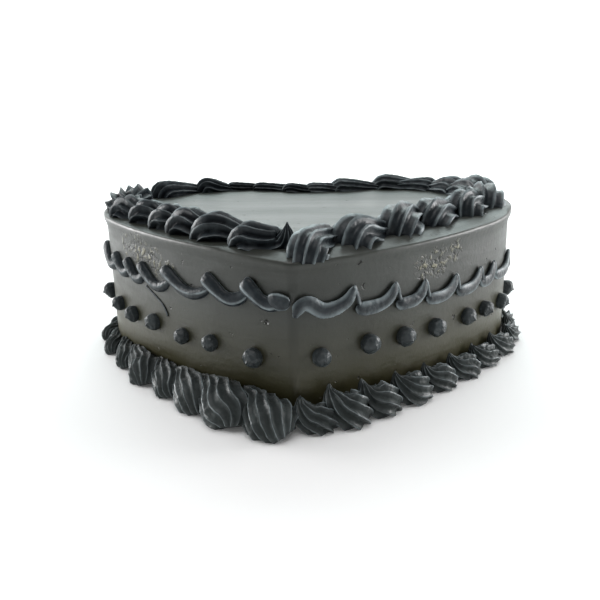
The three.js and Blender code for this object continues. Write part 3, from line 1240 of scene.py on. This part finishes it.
@dataclass
class BaseBorder:
    """Border of swirls round the foot, piped clockwise, so that the tails run the other way."""

    kitchen: Kitchen
    rows: tuple[BaseRow, BaseRow] = (
        BaseRow(
            side=RIGHT,
            name="base_border_right",
            seen=(5, 18.5, 35, 53, 70.5, 88, 106, 124, 142),
            count=17,
            width=18.5,
            back_width=10,
            cleft_from=286,
            back_rise=1.35,
            lean=0.0,
            star=StarTip(ridges=11, depth=0.24),
            form=SCROLL_SWIRL,
            seed=311,
        ),
        BaseRow(
            side=LEFT,
            name="base_border_left",
            seen=(5.5, 25, 43, 63, 83, 105, 126, 145),
            count=17,
            width=24.5,
            back_width=8.5,
            cleft_from=276,
            back_rise=1.12,
            lean=0.35,
            star=StarTip(ridges=13, depth=0.16),
            form=BULB_SWIRL,
            seed=577,
        ),
    )
    taper: float = 150
    centre_share: float = 0.45
    cleft_lean: float = -0.25
    tail: float = 1.1
    end_share: float = 0.7
    unevenness: float = 0.09
    wobble: float = 0.1
    detail_seed: int = 7311
    bumps: tuple[Bumps, ...] = (Bumps(4.2, 1.5), Bumps(1.4, 0.7))

    def build(self) -> None:
        """Pipes both halves of the border."""
        for row in self.rows:
            self.pipe_row(row)

    def pipe_row(self, row: BaseRow) -> None:
        """Pipes one half of the border.

        Args:
            row: Sizes of that half.
        """
        draw, detail = Draw(row.seed), Draw(self.detail_seed + row.seed)
        outline = self.kitchen.outline
        distances = outline.spread(row.seen, row.count)
        rod = row.star.rod(row.name + "_rod")
        pieces = []
        for number, distance in enumerate(distances):
            place = outline.place(0, distance, row.side)
            back = held(distance / self.taper)
            width = mix(row.width, row.back_width, back) * (1 + self.unevenness * draw())
            last = number - row.side.value
            inside = 0 <= last < len(distances)
            other = distances[last] if inside else distance + self.end_share * width
            run = self.tail * abs(other - distance)
            lean = self.cleft_lean if distance > row.cleft_from else row.lean
            turn = -QUARTER_TURN - lean - self.unevenness * draw()
            knots = shaken(row.form.knots(width / 2, run), detail, self.wobble)
            piece = piped(rod, f"{row.name}_{number + 1:02d}", knots)
            rise = Matrix.Scale(mix(1, row.back_rise, back), 4, UP)
            frame = place.stepped(self.centre_share * width).matrix(turn, 0)
            placed(piece, frame @ rise, self.bumps)
            cut_flat(piece, 0)
            pieces.append(piece)
        bpy.data.objects.remove(rod)
        border = joined(pieces, "foot_" + row.name)
        self.kitchen.serve(border, Slot.PIPING, [row.name])


@dataclass(frozen=True)
class GarlandRow:
    """Swags and dots of one half of the wall."""

    side: Side
    garland: str
    dot: str
    peaks: tuple[float, ...]
    peak_count: int
    peak_heights: Range
    string: float
    star: StarTip
    dots: tuple[float, ...]
    dot_count: int
    dot_heights: Range
    seed: int


STRING_TIP = partial(StarTip, ridges=3, head_crowding=1.0, points=16)
# A string's shade sets how far its hollows fall toward painted shade; a low one leaves the band
# lighter with painted highlights.
GARLAND_ROWS = (
    GarlandRow(
        side=RIGHT,
        garland="garland_right",
        dot="dot_right",
        peaks=(4, 27, 48, 65, 86, 106, 119),
        peak_count=14,
        peak_heights=(53.5, 46.5),
        string=3.5,
        star=STRING_TIP(depth=0.14, sections=60, ripple=0.03, shade=0.215),
        dots=(11.5, 34.5, 53.5, 73, 97, 113, 132, 155),
        dot_count=13,
        dot_heights=(29.0, 25.5),
        seed=41,
    ),
    GarlandRow(
        side=LEFT,
        garland="garland_left",
        dot="dot_left",
        peaks=(3, 21, 42, 69, 90, 105, 120),
        peak_count=14,
        peak_heights=(56.5, 52),
        string=3.4,
        star=STRING_TIP(depth=0.16, sections=40, shade=0.5),
        dots=(18.5, 42.5, 61, 83.5, 104, 121.5),
        dot_count=13,
        dot_heights=(27.0, 26.5),
        seed=83,
    ),
)

# Paths on the unrolled wall: the way along in runs, out in radii, up in sags, and the size.
ARCHED_START = (
    (-0.12, 0, -0.2, 0.3), (-0.11, 0, 0.15, 0.8), (-0.03, 0, 0.66, 0.92), (0.13, 0, 0.7, 0.98),
)
LEVEL_START = ((0.07, 0, 0.20, 0.30), (0.09, 0, 0.10, 0.75), (0.17, 0, -0.04, 0.96))
# The belly of a swag, up to its thin peak.
BELLY = (
    (0.34, 0, -0.06, 1), (0.56, 0, -0.08, 1), (0.75, 0, 0.1, 0.97), (0.89, 0, 0.44, 0.9),
    (0.97, 0, 0.88, 0.74), (1.01, 0, 1.2, 0.48), (1.01, 0, 1.36, 0.12),
)
# The thread that falls from a peak to the next swag, with the way along in millimetres.
FALL_OUT = 6 / 11
FALL = (
    (-0.2, FALL_OUT, 1.32, 0.5),
    (0.5, FALL_OUT, 1.20, 0.9),
    (1.4, FALL_OUT, 0.70, 1),
    (2.3, FALL_OUT, 0.15, 1),
    (3.4, FALL_OUT, -0.30, 0.8),
)
# A swag from its round head back to the end of its tail.
HEADED_SWAG = (
    (0.13, 0, 0.16, 0.25), (0.12, 0, 0.12, 0.95), (0.04, 0, 0.02, 1.35), (-0.12, 0, -0.32, 1.22),
    (-0.34, 0, -0.9, 1.04), (-0.56, 0, -1.14, 0.98), (-0.76, -0.2, -1.02, 0.94),
    (-0.92, -0.6, -0.66, 0.84), (-1.02, -1, -0.36, 0.4),
)
# A round bead, from its middle to both ends.
BEAD_HALF = (
    (0.2, 0, 0, 1), (0.6, 0, 0, 0.86), (0.86, 0, 0, 0.64), (0.98, 0, 0, 0.34), (1, 0, 0, 0.05),
)
BEAD = (*((-along, *rest) for along, *rest in reversed(BEAD_HALF)), *BEAD_HALF)
# A thin loose thread: the way along the wall, and the height.
LOOSE_THREAD = ((89, 43.5), (83, 41), (77, 39), (73.5, 36), (72, 32.5))


@dataclass
class Garland:
    """Strings of swags along the wall: low bellies on the right, round heads on the left."""

    kitchen: Kitchen
    sag: float = 6
    end: float = 4
    taper: float = 75
    lobe_share: float = 0.85
    flatness: float = 0.62
    lift: float = 0.5
    sunk: float = 1.0
    wobble: float = 0.05
    detail_seed: int = 933
    bead_at: float = 5.8
    bead_height: float = 52
    bead_radius: float = 4
    bead_stretch: float = 1.3
    thread_radius: float = 0.55
    thread_sunk: float = 1.2
    fall_radius: float = 1.1
    phase: float = HALF_TURN / 3
    bumps: Bumps = Bumps(2.0, 0.4)

    def build(self) -> None:
        """Pipes both halves of the garland."""
        for row in GARLAND_ROWS:
            self.pipe_row(row)

    def pipe_row(self, row: GarlandRow) -> None:
        """Pipes the swags of one half on the unrolled wall and brings them round the cake.

        Args:
            row: Sizes of that half.
        """
        outline = self.kitchen.outline
        rod = row.star.rod(row.garland + "_rod")
        runs = enumerate(self.runs(row))
        pieces = [piped(rod, f"{row.garland}_{number + 1:02d}", run) for number, run in runs]
        bpy.data.objects.remove(rod)
        string = joined(pieces, "string_" + row.garland)
        for point in string.data.vertices:
            along, out, height = point.co
            out = max(-self.sunk, self.flatness * (out + self.lift * row.string))
            point.co = outline.wrapped(along, out, height, row.side)
        face_out(string)
        self.bumps.press(string)
        self.kitchen.serve(string, Slot.PIPING, [row.garland])

    def runs(self, row: GarlandRow) -> list[list[Knot]]:
        """Paths of one half of the garland.

        Args:
            row: Sizes of that half.

        Returns:
            The knots of each run of icing.
        """
        outline = self.kitchen.outline
        draw = Draw(self.detail_seed + row.seed)
        peaks = [*outline.spread(row.peaks, row.peak_count), outline.length(0) - self.end]
        right = row.side is RIGHT
        runs = [] if right else [self.bead(), self.loose_thread()]
        for near, far in zip(peaks, peaks[1:]):
            away = held(near / self.taper)
            high = mix(*row.peak_heights, away)
            low = high - self.sag
            size = row.string * mix(1, self.lobe_share, away)
            if right:
                form = (*(ARCHED_START if near == peaks[0] else LEVEL_START), *BELLY)
                swag = self.path(form, near, far - near, low, size, self.phase)
            else:
                swag = self.path(HEADED_SWAG, far, far - near, high, size, self.phase)
            runs.append(shaken(swag, draw, self.wobble))
            if right:
                runs.append(self.path(FALL, far, 1, low, self.fall_radius, 0))
        return runs

    def path(
        self,
        form: Sequence[Row],
        start: float,
        run: float,
        level: float,
        radius: float,
        twist: float,
    ) -> list[Knot]:
        """Path of a run of icing on the unrolled wall.

        Args:
            form: Rows of the run.
            start: Way along the wall to the zero of the rows.
            run: Length that the rows are stretched to.
            level: Height of the zero of the rows.
            radius: Radius of the icing.
            twist: Turn of its ridges.

        Returns:
            The knots.
        """
        return [
            Knot(start + along * run, out * radius, level + up * self.sag, size * radius, twist)
            for along, out, up, size in form
        ]

    def bead(self) -> list[Knot]:
        """Returns the path of the round bead that starts the left string at the tip."""
        reach = self.bead_stretch * self.bead_radius
        return self.path(BEAD, self.bead_at, reach, self.bead_height, self.bead_radius, self.phase)

    def loose_thread(self) -> list[Knot]:
        """Returns the path of a thin thread of icing that hangs from the left string."""
        return [Knot(at, -self.thread_sunk, z, self.thread_radius) for at, z in LOOSE_THREAD]


@dataclass
class DotRow:
    """Dots under the swags, each pulled to a small point.

    Each row of the profile is the size of the icing and its way out from the wall.
    """

    kitchen: Kitchen
    radius: float = 3.9
    unevenness: float = 0.09
    height_stray: float = 0.04
    wobble: float = 0.08
    detail_seed: int = 2207
    taper: float = 90
    # The dots' shade leaves them a ridge value that speckles them with painted highlights.
    star: StarTip = StarTip(ridges=8, depth=0.0, sections=36, head_crowding=1.0, shade=0.19)
    profile: tuple[Range, ...] = (
        (0.9, -0.3), (1, 0.1), (1.05, 0.45), (1, 0.8), (0.78, 1.06), (0.42, 1.22), (0.16, 1.34),
        (0.03, 1.5),
    )
    droop: float = 0.12
    twist: float = 0.5
    bumps: tuple[Bumps, ...] = (Bumps(0.9, 0.7), Bumps(2.2, 0.6))

    def build(self) -> None:
        """Pipes the dots of both halves."""
        rod = self.star.rod("dot_rod")
        outline = self.kitchen.outline
        for row in GARLAND_ROWS:
            draw, detail = Draw(row.seed), Draw(self.detail_seed + row.seed)
            for number, distance in enumerate(outline.spread(row.dots, row.dot_count)):
                place = outline.place(0, distance, row.side)
                level = mix(*row.dot_heights, held(distance / self.taper))
                level *= 1 + self.height_stray * draw()
                size = self.radius * (1 + self.unevenness * draw())
                node = f"{row.dot}_{number + 1:02d}"
                knots = shaken(self.knots(), detail, self.wobble)
                piece = piped(rod, "icing_" + node, knots)
                placed(piece, place.matrix(0, level) @ Matrix.Scale(size, 4), self.bumps)
                self.kitchen.serve(piece, Slot.PIPING, [node])
        bpy.data.objects.remove(rod)

    def knots(self) -> list[Knot]:
        """Returns the path of a dot of unit size, drooping as it leaves the wall."""
        rows = ((out, -self.droop * max(0.0, out) ** 2, size) for size, out in self.profile)
        return [Knot(out, 0, down, size, self.twist * out) for out, down, size in rows]


@dataclass(frozen=True)
class Softbox:
    """Soft studio light, aimed at the middle of the cake."""

    name: str
    place: Xyz
    size: Range
    power: float
    colour: Rgb = WHITE
    aim: Xyz = (0, 0, 0.05)

    def build(self) -> None:
        """Hangs the light."""
        lamp = started(self.name, bpy.ops.object.light_add, type="AREA", location=self.place)
        lamp.data.shape = "RECTANGLE"
        lamp.data.size, lamp.data.size_y = self.size
        lamp.data.energy = self.power
        lamp.data.color = self.colour
        aim = Vector(self.aim) - Vector(self.place)
        lamp.rotation_euler = aim.to_track_quat("-Z", "Y").to_euler()


@dataclass
class Studio:
    """Pale floor, soft light and the camera."""

    shift: Vector
    floor_colour: Rgb = (0.93, 0.93, 0.93)
    floor_roughness: float = 0.7
    floor_glow: Range = (0.05, 0.9)
    glow_span: Range = (0.2, 1.5)
    floor_width: float = 6.0
    floor_front: float = -2.5
    floor_back: float = 1.6
    sweep_radius: float = 0.8
    sweep_height: float = 2.5
    sweep_steps: int = 24
    world_light: float = 0.22
    lights: tuple[Softbox, ...] = (
        Softbox("left_light", (-0.88, 0.22, 0.2), (0.6, 0.3), 7),
        Softbox("right_light", (0.88, 0.2, 0.2), (0.6, 0.3), 7),
        Softbox("back_light", (0.0, 1.0, 0.8), (1.6, 0.6), 9.5, (0.81, 1.0, 0.99)),
        Softbox("top_light", (0.0, -0.1, 1.4), (1.2, 1.2), 9.5),
    )
    focal_length: float = 42
    sensor: float = 36
    nearest: float = 0.01
    camera_place: Xyz = (19.4, -371.4, 136.3)
    camera_yaw: float = -0.0635
    camera_pitch: float = 0.313
    camera_roll: float = -0.024

    def build(self) -> None:
        """Sets up the studio."""
        self.lay_floor()
        self.light_world()
        for light in self.lights:
            light.build()
        self.set_camera()

    def lay_floor(self) -> None:
        """Lays a floor that sweeps up behind the cake."""
        middle = (0, (self.floor_back + self.floor_front) / 2, 0)
        floor = started("floor", bpy.ops.mesh.primitive_plane_add, size=1, location=middle)
        floor.scale = (self.floor_width, self.floor_back - self.floor_front, 1)
        bpy.ops.object.transform_apply(location=True, rotation=True, scale=True)
        pick_points(floor, [point.co.y > 0 for point in floor.data.vertices])
        for edge in floor.data.edges:
            edge.select = all(floor.data.vertices[k].select for k in edge.vertices)
        with editing(floor):
            centre = (0, self.floor_back, self.sweep_radius)
            turned(self.sweep_steps, QUARTER_TURN, centre, (1, 0, 0))
            rise = {"value": (0, 0, self.sweep_height)}
            bpy.ops.mesh.extrude_region_move(TRANSFORM_OT_translate=rise)
        bpy.ops.object.shade_smooth()
        paint = ShaderBench("floor_paint")
        glow = paint.span(paint.axis("Y"), self.glow_span, self.floor_glow)
        finish = {
            "Base Color": self.floor_colour,
            "Roughness": self.floor_roughness,
            "Emission Color": WHITE,
            "Emission Strength": glow,
        }
        floor.data.materials.append(paint.dressed(finish))

    def light_world(self) -> None:
        """Fills the room with even light."""
        world = bpy.data.worlds.new("room")
        bpy.context.scene.world = world
        world.use_nodes = True
        room = world.node_tree.nodes["Background"]
        room.inputs["Color"].default_value = (*WHITE, 1)
        room.inputs["Strength"].default_value = self.world_light
        bpy.context.scene.view_settings.view_transform = "Standard"

    def set_camera(self) -> None:
        """Sets the camera at the photograph's angle."""
        yaw = Matrix.Rotation(-self.camera_yaw, 3, "Z")
        pitch = Matrix.Rotation(QUARTER_TURN - self.camera_pitch, 3, "X")
        turn = yaw @ pitch @ Matrix.Rotation(self.camera_roll, 3, "Z")
        place = Vector(self.camera_place) * MILLIMETRE + self.shift
        add = bpy.ops.object.camera_add
        camera = started("camera", add, location=place, rotation=turn.to_euler())
        camera.data.lens = self.focal_length
        camera.data.sensor_width = self.sensor
        camera.data.clip_start = self.nearest
        bpy.context.scene.camera = camera


def heart_shift(outline: HeartOutline, lip: float) -> Vector:
    """Returns the heart's own origin in the row frame in metres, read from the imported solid."""
    low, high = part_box("cake_body")
    return Vector(((low.x + high.x) / 2, low.y + (outline.tip_reach + lip) * MILLIMETRE, 0))


def main() -> None:
    """Builds the cake and the studio."""
    logging.basicConfig(level=logging.INFO, format="%(name)s %(message)s")
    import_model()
    outline = HeartOutline()
    shift = heart_shift(outline, CakeBody.lip_reach)
    kitchen = Kitchen(outline, shift)
    for part in (CakeBody, TopBorder, BaseBorder, Garland, DotRow):
        part(kitchen).build()
        LOG.info("%s is done", part.__name__)
    Studio(shift).build()


if __name__ == "__main__":
    main()
